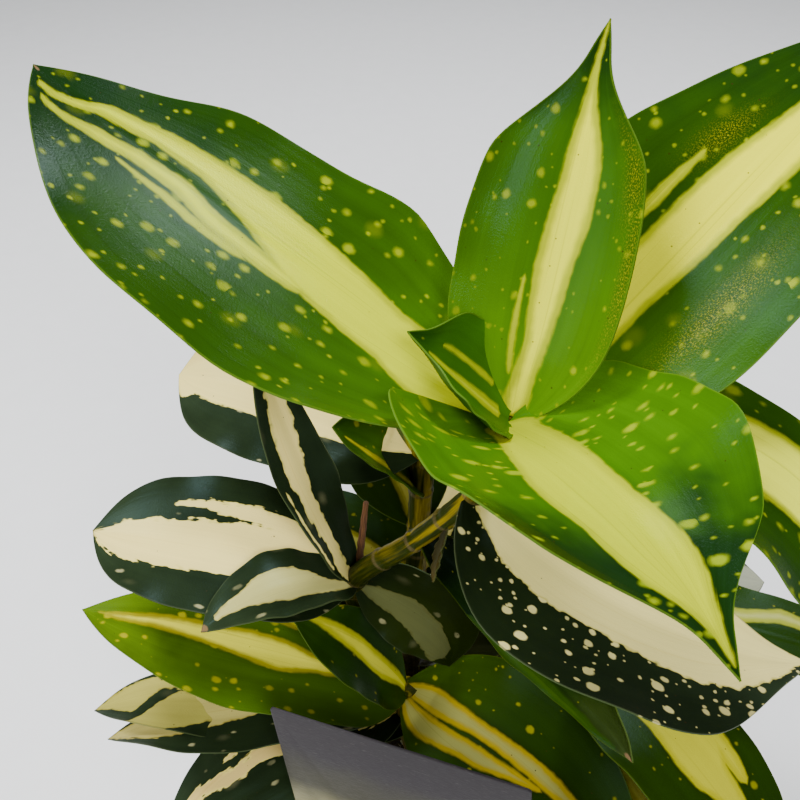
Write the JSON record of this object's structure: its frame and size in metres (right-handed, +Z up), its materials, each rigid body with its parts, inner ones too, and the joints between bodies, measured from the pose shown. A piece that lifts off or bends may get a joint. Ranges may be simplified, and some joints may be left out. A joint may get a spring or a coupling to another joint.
{
  "type": "potted gold dust dracaena",
  "caption": "Bushy houseplant with waved green leaves banded and specked in yellow on thin canes, in a plain tapered pot with soil and a bare plant label.",
  "frame": {"origin": "middle of the pot's underside, on the plane it stands on", "axes": "+Z up along the pot's axis; the picture looks along +Y from the front, so +X is to its right"},
  "size_m": [0.2785, 0.2349, 0.3717],
  "materials": {
    "leaf_green": "satin",
    "pot_plastic": "matte",
    "soil_brown": "matte",
    "label_grey": "satin"
  },
  "bodies": {
    "root": {"pot": "pot_plastic", "soil": "soil_brown", "head_stem": "leaf_green", "low_stem": "leaf_green", "back_stem": "leaf_green", "right_stem": "leaf_green", "front_stem": "leaf_green", "plant_label": "label_grey"}
  },
  "joints": []
}
